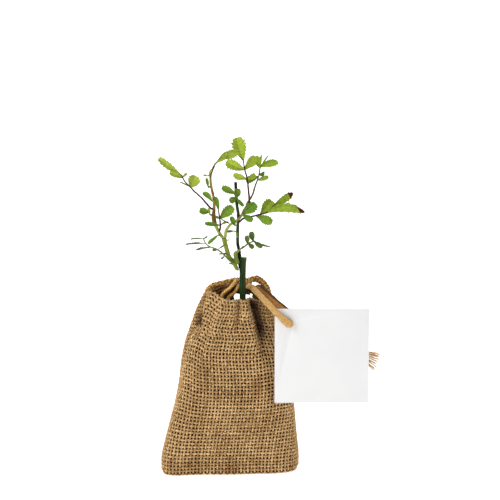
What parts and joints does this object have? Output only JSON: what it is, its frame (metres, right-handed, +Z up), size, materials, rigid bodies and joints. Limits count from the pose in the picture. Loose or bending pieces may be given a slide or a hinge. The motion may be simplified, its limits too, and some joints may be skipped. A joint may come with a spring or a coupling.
{
  "type": "rose sapling with root ball",
  "caption": "Young rose sapling with toothed compound leaves, standing on its root ball in a gathered burlap drawstring pouch with a blank card on the cord.",
  "frame": {"origin": "middle of the pouch's flat underside", "axes": "+Z up, +X to the right seen from the front, front towards -Y"},
  "size_m": [0.1521, 0.0595, 0.2323],
  "materials": {
    "burlap": "coarse open weave",
    "soil": "dark crumbly soil",
    "jute_cord": "flat jute cord",
    "card": "plain matt card",
    "bark": "smooth dark green bark",
    "green_shoot": "smooth young shoot",
    "tan_shoot": "smooth reddish shoot",
    "leaf": "satin leaf"
  },
  "bodies": {
    "root": {"pouch": "burlap", "root_ball": "soil", "pouch_hem": "burlap", "cord_front": "jute_cord", "cord_rear": "jute_cord", "cord_tassel": "jute_cord", "card": "card", "trunk": "bark", "leader": "bark", "main_shoot": "green_shoot", "left_shoot": "tan_shoot", "right_shoot": "green_shoot", "leaf_top": "leaf", "leaf_top_right": "leaf", "leaf_far_left": "leaf", "shoot_tip": "leaf", "leaf_mid_left": "leaf", "leaf_up_left": "leaf", "leaf_stem_upper": "leaf", "stipules_upper": "leaf", "leaf_centre_left": "leaf", "leaf_narrow_left": "leaf", "leaf_lower_left": "leaf", "leaf_lower_right": "leaf", "leaf_leader_top": "leaf", "leaf_centre": "leaf", "leaf_fork_right": "leaf", "leaf_right": "leaf", "leaf_mid_twig": "leaf"}
  },
  "joints": []
}
